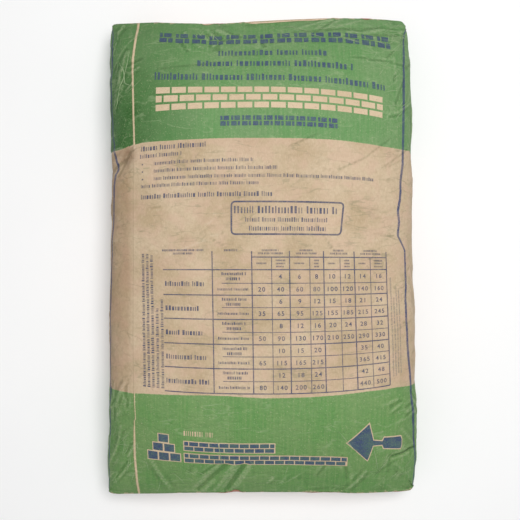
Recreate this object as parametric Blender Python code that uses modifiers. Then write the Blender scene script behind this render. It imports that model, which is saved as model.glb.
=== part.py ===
"""A filled block-bottom valve sack of cement, lying on its back.

Metres, +Z up. +X is the sack's width, +Y points to its filling end, and the origin is
on the floor under its middle.
"""

import bmesh
import bpy

# Driving dimensions of the filled sack
LENGTH = 0.686
WIDTH_AT_FILLING_END = 0.440
WIDTH_AT_BASE_END = 0.453
THICKNESS = 0.151
SIDE_CREST_HEIGHT = 0.067

# Folded block ends, and the ears that they taper to at their corners
BLOCK_HEIGHT = 0.086
EAR_HEIGHT = 0.038
EAR_REACH = 0.105
SHOULDER_LENGTH = 0.155
FILLING_END_BOW = 0.0085
BASE_END_BOW = 0.0015

# Paper, and the gap between pieces that touch
PAPER_WALL = 0.0004
CLEARANCE = 0.0003

# Cover patches, pasted over both folded ends
PATCH_PLY = 0.0003
PATCH_SIDE_MARGIN = 0.012
PATCH_EDGE_MARGIN = 0.006

# Valve sleeve, a flattened paper tube behind the filling end's right corner
SLEEVE_LENGTH = 0.110
SLEEVE_WIDTH = 0.029
SLEEVE_DEPTH = 0.0032
SLEEVE_WALL = 0.0003
SLEEVE_MOUTH_INSET = 0.0006

# Section of the belly: the power that rounds it, and how much of it the floor presses flat
BELLY_POWER = 2.7
PRESSED_DEPTH = 0.007
CREST_PROUD = 0.004

# Cage and facets: cells across, along and up, and how much the rows crowd at the ends
CAGE_CELLS = (10, 14, 4)
CAGE_ROW_RATIO = 0.225
PATCH_CELLS = (20, 2)
SLEEVE_SIDES = 16
BEND_CUTS = 5
CUTTER_REACH = 0.012

FILLING, BASE = 1, -1


def half_width(y):
    """Half the sack's width at y, which grows evenly towards the base."""
    share = y / LENGTH + 0.5
    return 0.5 * (WIDTH_AT_BASE_END + (WIDTH_AT_FILLING_END - WIDTH_AT_BASE_END) * share)


def end_y(x, end):
    """The y of an end face at x: the face bows out towards its middle."""
    bow = FILLING_END_BOW if end == FILLING else BASE_END_BOW
    return end * (LENGTH / 2 - bow * (x / half_width(end * LENGTH / 2)) ** 2)


def end_half_height(x, end):
    """Half the height of an end face at x: full in the middle, an ear at each corner."""
    to_corner = half_width(end * LENGTH / 2) - abs(x)
    taper = min(max(1 - to_corner / EAR_REACH, 0), 1)
    return 0.5 * (BLOCK_HEIGHT + (EAR_HEIGHT - BLOCK_HEIGHT) * taper)


def belly_point(u, w, y):
    """A point of the rounded belly section for a place (u, w) on the cage's square section."""
    reach = (abs(u) ** BELLY_POWER + abs(w) ** BELLY_POWER) ** (-1 / BELLY_POWER)
    proud = CREST_PROUD * abs(u) * (1 - abs(w))
    x = u * reach * (half_width(y) + proud)
    rise = w * reach
    crown = THICKNESS - SIDE_CREST_HEIGHT if rise > 0 else SIDE_CREST_HEIGHT + PRESSED_DEPTH
    return x, max(SIDE_CREST_HEIGHT + crown * rise, 0)


def block_point(u, w, end):
    """A point of a block end's outline for a place (u, w) on the cage's square section."""
    x = u * half_width(end * LENGTH / 2)
    return x, BLOCK_HEIGHT / 2 + w * end_half_height(x, end)


def sack_point(u, v, w):
    """Moves a point of the surface of a cube of side 2 to its place on the filled sack."""
    end = FILLING if v > 0 else BASE
    block_x, block_z = block_point(u, w, end)
    if abs(v) == 1:
        return block_x, end_y(block_x, end), block_z
    y = LENGTH / 2 * v * (1 + CAGE_ROW_RATIO * (1 - v * v))
    belly_x, belly_z = belly_point(u, w, y)
    blockiness = max(1 - (LENGTH / 2 - abs(y)) / SHOULDER_LENGTH, 0) ** 2
    x = belly_x + (block_x - belly_x) * blockiness
    z = belly_z + (block_z - belly_z) * blockiness
    return x, y + (end_y(block_x, end) - end * LENGTH / 2) * blockiness, z


def clear_scene():
    """Removes what the scene holds."""
    for obj in list(bpy.data.objects):
        bpy.data.objects.remove(obj, do_unlink=True)


def new_collection(name):
    """Makes a collection in the scene."""
    collection = bpy.data.collections.new(name)
    bpy.context.scene.collection.children.link(collection)
    return collection


def paper_material(name, colour, roughness):
    """Makes a plain Principled material."""
    material = bpy.data.materials.new(name)
    material.use_nodes = True
    shader = material.node_tree.nodes["Principled BSDF"]
    shader.inputs["Base Color"].default_value = (*colour, 1)
    shader.inputs["Roughness"].default_value = roughness
    shader.inputs["Metallic"].default_value = 0
    return material


def mesh_object(name, bm, collection, material=None):
    """Turns a bmesh into an object."""
    mesh = bpy.data.meshes.new(name)
    bm.to_mesh(mesh)
    bm.free()
    obj = bpy.data.objects.new(name, mesh)
    collection.objects.link(obj)
    if material:
        mesh.materials.append(material)
    return obj


def cutter_object(name, bm, collection):
    """Makes a hidden object that only cuts others."""
    cutter = mesh_object(name, bm, collection)
    cutter.hide_render = True
    cutter.display_type = "WIRE"
    return cutter


def thicken(obj, wall, offset=-1):
    """Gives a skin its wall, on its inner side unless the offset says otherwise."""
    solidify = obj.modifiers.new("wall", "SOLIDIFY")
    solidify.thickness = wall
    solidify.offset = offset
    solidify.use_even_offset = True


def split_along(bm, axis, cuts):
    """Cuts every edge that runs along an axis."""
    along = [
        edge for edge in bm.edges
        if abs((edge.verts[1].co - edge.verts[0].co).normalized()[axis]) > 0.9
    ]
    bmesh.ops.subdivide_edges(bm, edges=along, cuts=cuts, use_grid_fill=True)


def crease_block_edges(bm):
    """Keeps the folded edges round both end faces sharp. The cage is still a cube here."""
    crease = bm.edges.layers.float.new("crease_edge")
    for edge in bm.edges:
        is_end = [abs(face.normal.y) > 0.9 for face in edge.link_faces]
        if any(is_end) and not all(is_end):
            edge[crease] = 1


def sack_cage(name, collection, material=None):
    """Makes the sack's closed outer skin: a cube of cells, shaped and subdivided once."""
    bm = bmesh.new()
    bmesh.ops.create_cube(bm, size=2)
    for axis, cells in enumerate(CAGE_CELLS):
        split_along(bm, axis, cells - 1)
    bm.normal_update()
    crease_block_edges(bm)
    for vert in bm.verts:
        vert.co = sack_point(*vert.co)
    cage = mesh_object(name, bm, collection, material)
    rounding = cage.modifiers.new("rounding", "SUBSURF")
    rounding.levels = rounding.render_levels = 1
    facets = cage.modifiers.new("facets", "TRIANGULATE")
    facets.quad_method = "FIXED"
    return cage


def bent_block(y_inner, y_outer, x_range, z_range):
    """A block that follows the bowed filling end, between two depths measured from it."""
    bm = bmesh.new()
    bmesh.ops.create_cube(bm, size=1)
    split_along(bm, 0, BEND_CUTS)
    for vert in bm.verts:
        x = x_range[0] + (vert.co.x + 0.5) * (x_range[1] - x_range[0])
        depth = y_inner if vert.co.y < 0 else y_outer
        z = z_range[0] if vert.co.z < 0 else z_range[1]
        vert.co = (x, end_y(x, FILLING) + depth, z)
    return bm


def sleeve_outer_depth():
    """How far the sleeve's outer side lies behind the filling end's face."""
    return PAPER_WALL + 2 * CLEARANCE


def sleeve_z_range(margin=0.0):
    """The sleeve's lowest and highest level, at the middle of the block end."""
    half = SLEEVE_WIDTH / 2 + margin
    return BLOCK_HEIGHT / 2 - half, BLOCK_HEIGHT / 2 + half


def make_paper_sack(parts, cutters, material):
    """The paper shell, with the valve's slit in its filling end's right ear."""
    sack = sack_cage("paper_sack", parts, material)
    thicken(sack, PAPER_WALL)

    corner = half_width(LENGTH / 2)
    slit = bent_block(
        -sleeve_outer_depth() - SLEEVE_DEPTH - CLEARANCE,
        -sleeve_outer_depth() + CLEARANCE,
        (corner - CUTTER_REACH, corner + CUTTER_REACH),
        sleeve_z_range(CLEARANCE),
    )
    valve = sack.modifiers.new("valve slit", "BOOLEAN")
    valve.operation = "DIFFERENCE"
    valve.solver = "EXACT"
    valve.object = cutter_object("valve_slit_cutter", slit, cutters)
    return sack


def make_cement_fill(parts, cutters, material):
    """The cement: the sack's skin, drawn in by the paper and the clearance."""
    cage = sack_cage("cement_cage", parts)
    thicken(cage, PAPER_WALL + CLEARANCE)
    bpy.context.view_layer.update()
    shell = cage.evaluated_get(bpy.context.evaluated_depsgraph_get())
    bm = bmesh.new()
    bm.from_mesh(shell.to_mesh())
    shell.to_mesh_clear()
    bpy.data.objects.remove(cage, do_unlink=True)

    # A thickened closed skin holds its outer skin's vertices first, then its inner skin's
    bm.verts.ensure_lookup_table()
    outer_skin = bm.verts[:len(bm.verts) // 2]
    bmesh.ops.delete(bm, geom=outer_skin, context="VERTS")
    bmesh.ops.reverse_faces(bm, faces=bm.faces)
    fill = mesh_object("cement_fill", bm, parts, material)

    corner = half_width(LENGTH / 2)
    room = bent_block(
        -sleeve_outer_depth() - SLEEVE_DEPTH - CLEARANCE,
        CUTTER_REACH,
        (corner - SLEEVE_MOUTH_INSET - SLEEVE_LENGTH - CLEARANCE, corner + CUTTER_REACH),
        sleeve_z_range(CLEARANCE),
    )
    recess = fill.modifiers.new("sleeve recess", "BOOLEAN")
    recess.operation = "DIFFERENCE"
    recess.solver = "EXACT"
    recess.object = cutter_object("sleeve_recess_cutter", room, cutters)
    return fill


def make_cover_patch(name, end, parts, material):
    """A paper strip over a folded end, which keeps a margin to the end's outline."""
    bm = bmesh.new()
    bmesh.ops.create_grid(bm, x_segments=PATCH_CELLS[0], y_segments=PATCH_CELLS[1], size=1)
    reach = half_width(end * LENGTH / 2) - PATCH_SIDE_MARGIN
    for vert in bm.verts:
        x = vert.co.x * reach
        rise = vert.co.y * (end_half_height(x, end) - PATCH_EDGE_MARGIN)
        vert.co = (x, end_y(x, end) + end * CLEARANCE, BLOCK_HEIGHT / 2 + rise)
    patch = mesh_object(name, bm, parts, material)
    thicken(patch, PATCH_PLY, 1 if patch.data.polygons[0].normal.y * end > 0 else -1)
    return patch


def make_valve_sleeve(parts, material):
    """A flattened tube that runs in from the right ear, close behind the filling end."""
    bm = bmesh.new()
    bmesh.ops.create_cone(
        bm, cap_ends=False, segments=SLEEVE_SIDES, radius1=1, radius2=1, depth=1)
    split_along(bm, 2, BEND_CUTS)
    mouth = half_width(LENGTH / 2) - SLEEVE_MOUTH_INSET
    middle_depth = sleeve_outer_depth() + SLEEVE_DEPTH / 2
    for vert in bm.verts:
        x = mouth - (vert.co.z + 0.5) * SLEEVE_LENGTH
        y = end_y(x, FILLING) - middle_depth - vert.co.x * SLEEVE_DEPTH / 2
        vert.co = (x, y, BLOCK_HEIGHT / 2 + vert.co.y * SLEEVE_WIDTH / 2)
    sleeve = mesh_object("valve_sleeve", bm, parts, material)
    thicken(sleeve, SLEEVE_WALL)
    return sleeve


def main():
    clear_scene()
    parts = new_collection("cement_bag")
    cutters = new_collection("cutters")

    kraft = paper_material("kraft_paper", (0.552, 0.413, 0.270), 0.8)
    patch_paper = paper_material("patch_paper", (0.48, 0.33, 0.22), 0.82)
    sleeve_paper = paper_material("sleeve_paper", (0.60, 0.47, 0.33), 0.78)
    cement = paper_material("cement", (0.36, 0.36, 0.35), 0.95)

    sack = make_paper_sack(parts, cutters, kraft)
    sack.data.shade_smooth()
    make_cement_fill(parts, cutters, cement)
    make_cover_patch("top_cover_patch", FILLING, parts, patch_paper)
    make_cover_patch("bottom_cover_patch", BASE, parts, patch_paper)
    make_valve_sleeve(parts, sleeve_paper)


main()
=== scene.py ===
"""Looks of a filled cement sack: printed and creased kraft paper, cover patches and a valve.

Metres, +Z up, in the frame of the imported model. The sack lies on its back and the camera
looks straight down on its printed front. A place on the paper is given as (s, t): s is the
arc round the tube from the middle of the front, positive to the right, and t is the arc
along the sack from its middle, positive towards the filling end.
"""

import math

import bpy
import numpy as np
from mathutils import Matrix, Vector
from mathutils.bvhtree import BVHTree
from mathutils.geometry import delaunay_2d_cdt


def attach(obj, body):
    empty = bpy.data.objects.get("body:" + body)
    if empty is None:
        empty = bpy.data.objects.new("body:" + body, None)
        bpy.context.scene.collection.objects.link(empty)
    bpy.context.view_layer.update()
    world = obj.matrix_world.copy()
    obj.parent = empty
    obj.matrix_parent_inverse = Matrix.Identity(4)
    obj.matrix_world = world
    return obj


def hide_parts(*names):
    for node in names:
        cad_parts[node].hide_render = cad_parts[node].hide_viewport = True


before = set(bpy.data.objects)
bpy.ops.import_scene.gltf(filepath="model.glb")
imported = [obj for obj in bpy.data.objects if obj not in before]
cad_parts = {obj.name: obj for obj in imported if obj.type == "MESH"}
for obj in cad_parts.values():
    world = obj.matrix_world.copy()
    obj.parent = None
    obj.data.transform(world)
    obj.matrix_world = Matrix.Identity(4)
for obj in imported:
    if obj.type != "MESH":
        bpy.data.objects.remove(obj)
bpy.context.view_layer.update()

# The sack's form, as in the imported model
LENGTH = 0.686
WIDTH_AT_FILLING_END = 0.440
WIDTH_AT_BASE_END = 0.453
THICKNESS = 0.151
CREST_HEIGHT = 0.067
BLOCK_HEIGHT = 0.086
EAR_HEIGHT = 0.038
EAR_REACH = 0.105
SHOULDER_LENGTH = 0.155
FILLING_END_BOW = 0.0085
BASE_END_BOW = 0.0015
BELLY_POWER = 2.7
PRESSED_DEPTH = 0.007
PATCH_SIDE_MARGIN = 0.012
PATCH_EDGE_MARGIN = 0.006
SLEEVE_LENGTH = 0.110
SLEEVE_WIDTH = 0.029
SLEEVE_DEPTH = 0.0032
FILLING, BASE = 1, -1
LEFT, RIGHT = -1, 1

# Cells of the paper mesh: across the front, up a side and along the sack
FRONT_CELLS = 114
SIDE_CELLS = 50
LENGTH_CELLS = 226
CELL_SIZE = 0.0034
ROW_CROWDING = 0.08

# How the paper departs from the plain form: the end faces' bulge, and the corners' roundings
# across and along
END_BULGE = 0.004
CORNER_ROUNDING = {
    (FILLING, LEFT): (0.005, 0.006),
    (FILLING, RIGHT): (0.014, 0.018),
    (BASE, LEFT): (0.009, 0.008),
    (BASE, RIGHT): (0.010, 0.022),
}

# The outline seen from above: places along each edge and how far it lies outside the even form
EDGE_REACH = 0.12
END_EDGES = {
    FILLING: (
        (-0.21, -0.16, -0.12, -0.07, 0, 0.07, 0.13, 0.18, 0.21),
        (0.006, 0.001, -0.005, -0.008, -0.005, -0.001, 0.003, 0.008, 0.010),
    ),
    BASE: (
        (-0.21, -0.19, -0.16, -0.12, 0, 0.10, 0.14, 0.18, 0.21),
        (0.0105, 0.0085, 0.0055, 0.0015, 0, 0.0005, 0.0035, 0.0055, 0.006),
    ),
}
SIDE_EDGES = {
    LEFT: (
        (-0.34, -0.30, -0.24, -0.06, 0.06, 0.12, 0.17, 0.24, 0.34),
        (0.003, 0, -0.003, -0.003, -0.002, -0.005, -0.001, 0.002, 0.003),
    ),
    RIGHT: (
        (-0.34, -0.30, -0.24, -0.18, -0.12, -0.05, 0.15, 0.28, 0.34),
        (0.001, 0.0025, 0, -0.001, -0.003, -0.004, -0.004, -0.004, -0.005),
    ),
}

# Dents: middle, radius and push. The last is on the right side, the others on the block ends
DENTS = [
    ((-0.082, 0.337, 0.086), 0.009, (0, -0.0018, -0.001)),
    ((-0.063, 0.336, 0.086), 0.008, (0, -0.0016, -0.001)),
    ((-0.040, -0.343, 0.086), 0.014, (0, 0.0022, -0.002)),
    ((0.195, 0.100, 0.110), 0.030, (-0.002, 0, -0.002)),
]

# Folds pressed into the front: start, stop, width and depth, ridges with a depth below 0
FOLDS = [
    ((0.118, 0.280), (0.230, 0.270), 0.004, 0.0007),
    ((-0.021, -0.292), (-0.053, -0.358), 0.009, 0.0042),
    ((-0.034, -0.290), (-0.070, -0.356), 0.009, -0.0016),
    ((-0.046, -0.293), (-0.094, -0.352), 0.009, 0.0026),
    ((0.180, -0.289), (0.232, -0.277), 0.005, 0.0014),
    ((-0.055, 0.030), (-0.140, -0.006), 0.014, -0.0011),
    ((-0.183, 0.150), (-0.214, 0.108), 0.014, 0.0022),
    ((-0.196, 0.133), (-0.238, 0.118), 0.010, 0.0024),
    ((-0.200, 0.150), (-0.240, 0.144), 0.010, -0.0018),
    ((-0.195, 0.300), (-0.225, 0.195), 0.010, -0.0014),
    ((-0.150, 0.262), (-0.060, 0.272), 0.012, 0.0010),
    ((0.150, -0.310), (0.120, -0.356), 0.007, -0.0012),
    ((0.190, -0.298), (0.222, -0.332), 0.009, -0.0010),
    ((-0.160, -0.285), (-0.130, -0.350), 0.008, -0.0012),
    ((0.040, 0.330), (0.200, 0.338), 0.009, 0.0013),
    ((0.120, 0.318), (0.215, 0.325), 0.007, 0.0011),
    ((-0.066, 0.346), (-0.035, 0.318), 0.006, -0.0016),
    ((-0.074, 0.346), (-0.052, 0.315), 0.006, 0.0016),
]

# Small folds strewn about a place: its middle and reach, their count, length, turn and depth
WRINKLES = [
    ((0.120, 0.328), (0.090, 0.012), 16, 0.050, 4, 0.0009),
    ((-0.060, 0.325), (0.060, 0.020), 10, 0.028, -60, 0.0009),
    ((-0.215, 0.270), (0.025, 0.060), 11, 0.035, 65, 0.0009),
    ((-0.215, -0.270), (0.025, 0.070), 16, 0.035, 60, 0.0012),
    ((0, -0.325), (0.200, 0.016), 14, 0.040, 70, 0.0006),
    ((0.195, -0.235), (0.030, 0.030), 9, 0.045, 12, 0.0008),
    ((0.190, 0.250), (0.030, 0.060), 10, 0.035, 50, 0.0008),
    ((0.110, 0.125), (0.080, 0.025), 9, 0.060, 14, 0.0004),
    ((0.130, 0.055), (0.060, 0.030), 7, 0.060, -14, 0.0004),
    ((-0.120, 0.030), (0.060, 0.040), 9, 0.040, 20, 0.0003),
    ((-0.300, 0), (0.060, 0.320), 70, 0.055, 80, 0.0016),
    ((0.300, 0), (0.060, 0.320), 70, 0.055, 100, 0.0016),
]

# Slack paper that crumples as cloth
SETTLE_STEP = 2
SETTLE_FRAMES = 12
SETTLE_SHAKE = 0.0004
SLACK = 0.045
SETTLE_SHARE = 0.8
SETTLE_CAP = 0.0045
EVENING_PASSES = 40
CLOTH = {
    "quality": 5, "mass": 0.3, "tension_stiffness": 80, "compression_stiffness": 80,
    "shear_stiffness": 40, "bending_stiffness": 0.5, "air_damping": 1,
    "vertex_group_mass": "hold", "pin_stiffness": 0.5,
    "vertex_group_shrink": "slack", "shrink_min": 0, "shrink_max": -SLACK,
}

# Print: rows are level in print places (p, q) and bend a little on the filled sack. How far
# they bend along t, at given q, for p at BEND_REACH left and right of the middle
BEND_REACH = 0.155
BEND_Q = (-0.350, -0.285, -0.197, -0.020, 0.160, 0.205, 0.250, 0.269, 0.318)
BEND_LEFT = (0.008, 0.010, 0.0045, 0, -0.0055, -0.003, 0.007, 0.0055, 0.0065)
BEND_RIGHT = (-0.004, -0.007, 0.0075, 0, -0.0072, -0.0095, -0.009, -0.011, -0.008)
SLANT = 0.003
RIGHT_SLANT = 0.003

# Inner edges of the green bands, as q at given s
TOP_BAND_EDGE = (
    (-0.24, -0.206, -0.193, -0.167, -0.123, 0, 0.10, 0.146, 0.169, 0.195, 0.212, 0.225),
    (0.1585, 0.1564, 0.159, 0.1613, 0.160, 0.159, 0.160, 0.1587, 0.158, 0.1586, 0.160, 0.162),
)
BASE_BAND_EDGE = (
    (-0.48, -0.26, -0.22, -0.185, -0.167, -0.117, -0.075, -0.045, 0, 0.10, 0.146, 0.18, 0.26, 0.48),
    (-0.1941, -0.1972, -0.1972, -0.1991, -0.1972, -0.1946, -0.193, -0.1935, -0.1961, -0.1955,
     -0.1945, -0.1955, -0.1955, -0.1986),
)

# Lines along the paper, as s at given t, and their widths at given t
SEAM_LINE = (
    (-0.355, -0.285, -0.232, -0.230, -0.195, 0.150, 0.280, 0.345),
    (-0.181, -0.182, -0.181, -0.179, -0.180, -0.181, -0.1848, -0.182),
)
SEAM_WIDTH = (
    (-0.355, -0.265, -0.240, -0.228, -0.195, 0.160, 0.345),
    (0.0034, 0.0032, 0.0018, 0.0010, 0.0013, 0.0028, 0.0034),
)
LEFT_LINE = (
    (-0.35, -0.25, -0.208, -0.17, -0.125, -0.067, 0.013,
     0.092, 0.114, 0.118, 0.15, 0.172, 0.35),
    (-0.234, -0.237, -0.2335, -0.237, -0.237, -0.231, -0.232,
     -0.2245, -0.22, -0.215, -0.222, -0.2325, -0.233),
)
LEFT_LINE_WIDTH = (
    (-0.27, -0.20, 0.02, 0.09, 0.15),
    (0.0040, 0.0062, 0.0056, 0.0066, 0.0054),
)
RIGHT_LINE = (
    (-0.345, -0.321, -0.205, -0.186, -0.125, -0.064, -0.047, 0.006,
     0.027, 0.045, 0.061, 0.09, 0.17, 0.326, 0.35),
    (0.233, 0.24, 0.2205, 0.221, 0.212, 0.209, 0.2123, 0.2105,
     0.195, 0.198, 0.195, 0.203, 0.208, 0.217, 0.227),
)
RIGHT_LINE_WIDTH = (
    (-0.33, -0.25, -0.19, -0.13, 0, 0.06, 0.14, 0.20),
    (0.0068, 0.0056, 0.0060, 0.0048, 0.0040, 0.0044, 0.0050, 0.0060),
)
LINES = {
    "seam": (SEAM_LINE, SEAM_WIDTH),
    "left_line": (LEFT_LINE, LEFT_LINE_WIDTH),
    "right_line": (RIGHT_LINE, RIGHT_LINE_WIDTH),
}

# Camera, as a distance from the floor, and how far the photo's middle lies from the sack's
CAMERA_HEIGHT = 1.2
CAMERA_SHIFT = (-0.0030, -0.0073)
SENSOR = 36.0
LENS = 53.3

# Lights: place, size and power of each, and how strong the world's light is
LIGHTS = {"key": ((0.34, 0.32, 2.2), 1.2, 40), "fill": ((-0.9, -0.7, 2.0), 2.0, 4)}
WORLD_STRENGTH = 0.29


# Form of the smooth sack


def half_width(y):
    """Half the sack's width at y, which grows evenly towards the base."""
    share = y / LENGTH + 0.5
    return 0.5 * (WIDTH_AT_BASE_END + (WIDTH_AT_FILLING_END - WIDTH_AT_BASE_END) * share)


def smooth(x):
    """A smooth step from 0 to 1 for x from 0 to 1."""
    x = np.clip(x, 0, 1)
    return x * x * (3 - 2 * x)


def end_drop(x, end):
    """How far an end face at x lies behind its middle."""
    bow = np.where(end == FILLING, FILLING_END_BOW, BASE_END_BOW)
    return bow * (x / half_width(end * LENGTH / 2)) ** 2


def end_half_height(x, end):
    """Half the height of an end face at x: full in the middle, an ear at each corner."""
    to_corner = half_width(end * LENGTH / 2) - np.abs(x)
    taper = 1 - to_corner / EAR_REACH
    taper = 0.7 * np.clip(taper, 0, 1) + 0.3 * smooth(taper)
    return 0.5 * (BLOCK_HEIGHT + (EAR_HEIGHT - BLOCK_HEIGHT) * taper)


def sack_points(u, v, w):
    """The smooth sack's points for places (u, v, w) on the surface of a cube of side 2."""
    end = np.where(v > 0, FILLING, BASE)
    y = LENGTH / 2 * v
    block_x = u * half_width(end * LENGTH / 2)
    block_z = BLOCK_HEIGHT / 2 + w * end_half_height(block_x, end)

    spread = np.maximum(np.abs(u) ** BELLY_POWER + np.abs(w) ** BELLY_POWER, 1e-6)
    reach = spread ** (-1 / BELLY_POWER)
    rise = w * reach
    crown = np.where(rise > 0, THICKNESS - CREST_HEIGHT, CREST_HEIGHT + PRESSED_DEPTH)
    belly_x = u * reach * half_width(y)
    belly_z = np.maximum(CREST_HEIGHT + crown * rise, 0)

    blockiness = np.clip(1 - (LENGTH / 2 - np.abs(y)) / SHOULDER_LENGTH, 0, 1) ** 2
    x = belly_x + (block_x - belly_x) * blockiness
    z = belly_z + (block_z - belly_z) * blockiness
    bulge = np.where(np.abs(v) == 1, END_BULGE * (1 - w ** 2) * (1 - u ** 4), 0)
    return np.stack([x, y + end * (bulge - end_drop(block_x, end) * blockiness), z], axis=-1)


def fit_outline(points):
    """Moves the edges to the real outline, as seen from above."""
    x, y = points[..., 0], points[..., 1]
    for end, (places, push) in END_EDGES.items():
        near = smooth(1 - (LENGTH / 2 - end * y) / EDGE_REACH)
        y += end * near * np.interp(x, places, push)
    for side, (places, push) in SIDE_EDGES.items():
        near = np.clip(side * x / half_width(y), 0, 1) ** 8
        x += side * near * np.interp(y, places, push)
    return points


def round_corners(points):
    """Rounds the sack's four corners, as seen from above."""
    x, y = points[..., 0], points[..., 1]
    for (end, side), (across, along) in CORNER_ROUNDING.items():
        corner_x = half_width(end * LENGTH / 2)
        corner_y = LENGTH / 2 - float(end_drop(corner_x, end))
        p = np.clip((side * x - corner_x + across) / across, 0, 1)
        q = np.clip((end * y - corner_y + along) / along, 0, 1)
        inside = (p > 0) & (q > 0)
        x -= np.where(inside, side * across * p * (1 - np.sqrt(1 - q ** 2 / 2)), 0)
        y -= np.where(inside, end * along * q * (1 - np.sqrt(1 - p ** 2 / 2)), 0)
    return points


def dent(points):
    """Pushes the dents into the form."""
    for middle, radius, push in DENTS:
        away = np.linalg.norm(points - np.array(middle), axis=-1) / radius
        points = points + (np.clip(1 - away ** 2, 0, 1) ** 2)[..., None] * np.array(push)
    return points


def real_points(u, v, w):
    """The sack's points with its real outline, corners and dents."""
    return dent(fit_outline(round_corners(sack_points(u, v, w))))


# Paper as a grid


def unit(vectors):
    """Vectors scaled to length 1."""
    return vectors / np.maximum(np.linalg.norm(vectors, axis=-1, keepdims=True), 1e-12)


def blend(grid, i, j, over, up):
    """Values of a grid at shares over and up of the way from its places (i, j) to the next."""
    near = grid[i, j] * (1 - over) + grid[i + 1, j] * over
    far = grid[i, j + 1] * (1 - over) + grid[i + 1, j + 1] * over
    return near * (1 - up) + far * up


def ring_lattice():
    """Lattice places round the tube, from the middle of the back over the left side."""
    nx, nz = FRONT_CELLS, SIDE_CELLS
    places = [(i, 0) for i in range(nx // 2, 0, -1)]
    places += [(0, j) for j in range(nz)]
    places += [(i, nz) for i in range(nx)]
    places += [(nx, j) for j in range(nz, 0, -1)]
    places += [(i, 0) for i in range(nx, nx // 2, -1)]
    return places


class Tube:
    """The paper tube as a grid of points, indexed round it and along it."""

    def __init__(self):
        self.ring = ring_lattice()
        ring = np.array(self.ring, float)
        u = 2 * ring[:, :1] / FRONT_CELLS - 1
        w = 2 * ring[:, 1:] / SIDE_CELLS - 1
        row = np.linspace(-1, 1, LENGTH_CELLS + 1)[None, :]
        v = row * (1 + ROW_CROWDING * (1 - row ** 2))
        u, v, w = np.broadcast_arrays(u, v, w)
        self.points = round_corners(sack_points(u, v, w))
        self.measure()
        self.points = dent(fit_outline(self.points))
        self.find_normals()

    def measure(self):
        """Finds s for every point and t for every row, on the smooth form."""
        points = self.points
        steps = np.linalg.norm(np.roll(points, -1, axis=0) - points, axis=2)
        arc = np.concatenate([np.zeros_like(steps[:1]), np.cumsum(steps, axis=0)])
        self.girth = arc[-1, LENGTH_CELLS // 2]
        nx, nz = FRONT_CELLS, SIDE_CELLS
        middle = self.ring.index((nx // 2, nz))
        s = arc[:-1] - arc[middle]
        for inner, outer, half in (
            ((0, nz), (0, 0), -self.girth / 2),
            ((nx, nz), (nx, 0), self.girth / 2),
        ):
            inner, outer = self.ring.index(inner), self.ring.index(outer)
            corner = s[outer].copy()
            if half < 0:
                s[:outer + 1] = arc[:outer + 1] + half
                side = slice(outer, inner + 1)
            else:
                s[outer:] = half - (arc[-1] - arc[outer:-1])
                side = slice(inner, outer + 1)
            side_arc = arc[side] - arc[middle]
            share = (side_arc - corner) / (side_arc[-1 if half < 0 else 0] - corner)
            s[side] = s[outer] + share * (s[inner] - s[outer])
        self.s = s
        t = np.concatenate([[0], np.cumsum(np.linalg.norm(np.diff(points[middle], axis=0), axis=1))])
        self.t = t - t[LENGTH_CELLS // 2]

    def find_normals(self):
        round_it = np.roll(self.points, -1, axis=0) - np.roll(self.points, 1, axis=0)
        self.normals = unit(np.cross(round_it, np.gradient(self.points, axis=1)))

    def move(self, by):
        """Moves the points, never below the floor."""
        self.points = self.points + by
        self.points[..., 2] = np.maximum(self.points[..., 2], 0)
        self.find_normals()

    def edge(self, end):
        """Values of x and s along the front's edge at an end."""
        row = LENGTH_CELLS if end == FILLING else 0
        columns = [c for c, (_, j) in enumerate(self.ring) if j == SIDE_CELLS]
        return self.points[columns, row, 0], self.s[columns, row]

    def locate(self, s, t):
        """Points on the paper and their normals, for arrays of s and t."""
        row = np.clip(np.interp(t, self.t, np.arange(len(self.t))), 0, len(self.t) - 1.001)
        low = row.astype(int)
        up = row - low
        column = np.empty(len(s))
        for k in range(len(s)):
            arc = self.s[:, low[k]] * (1 - up[k]) + self.s[:, low[k] + 1] * up[k]
            column[k] = np.interp(s[k], arc, np.arange(len(arc)))
        left = np.minimum(column.astype(int), len(self.s) - 2)
        where = left, low, (column - left)[:, None], up[:, None]
        return blend(self.points, *where), unit(blend(self.normals, *where))


class EndFace:
    """A block end as a full lattice of points that shares its outline with the tube."""

    def __init__(self, tube, end):
        nx, nz = FRONT_CELLS, SIDE_CELLS
        i, j = np.meshgrid(np.arange(nx + 1), np.arange(nz + 1), indexing="ij")
        u, w = 2 * i / nx - 1, 2 * j / nz - 1
        points = real_points(u, np.full(u.shape, float(end)), w)
        inward = smooth(np.minimum((1 - np.abs(u)) * 22, (1 - np.abs(w)) * 5))
        x, z = points[..., 0], points[..., 2]
        relief = 0.0012 * facet_relief(x, z, 0.033, 11 + end)
        relief = relief + 0.0005 * facet_relief(x, z, 0.013, 15 + end)
        points[..., 1] += end * relief * inward
        row = LENGTH_CELLS if end == FILLING else 0
        for c, (a, b) in enumerate(tube.ring):
            points[a, b] = tube.points[c, row]
        self.points = points

    def locate(self, u, w):
        """Points for lattice places u and w from -1 to 1."""
        a = np.clip((u + 1) / 2 * FRONT_CELLS, 0, FRONT_CELLS - 1e-6)
        b = np.clip((w + 1) / 2 * SIDE_CELLS, 0, SIDE_CELLS - 1e-6)
        i, j = a.astype(int), b.astype(int)
        return blend(self.points, i, j, (a - i)[..., None], (b - j)[..., None])


def grid_faces(columns, rows, closed=False):
    """Faces of a grid of points in column-major order, which may close into a tube."""
    sides = [
        (c * rows, (c + 1) % columns * rows) for c in range(columns if closed else columns - 1)]
    return [(a + r, b + r, b + r + 1, a + r + 1) for a, b in sides for r in range(rows - 1)]


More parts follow.
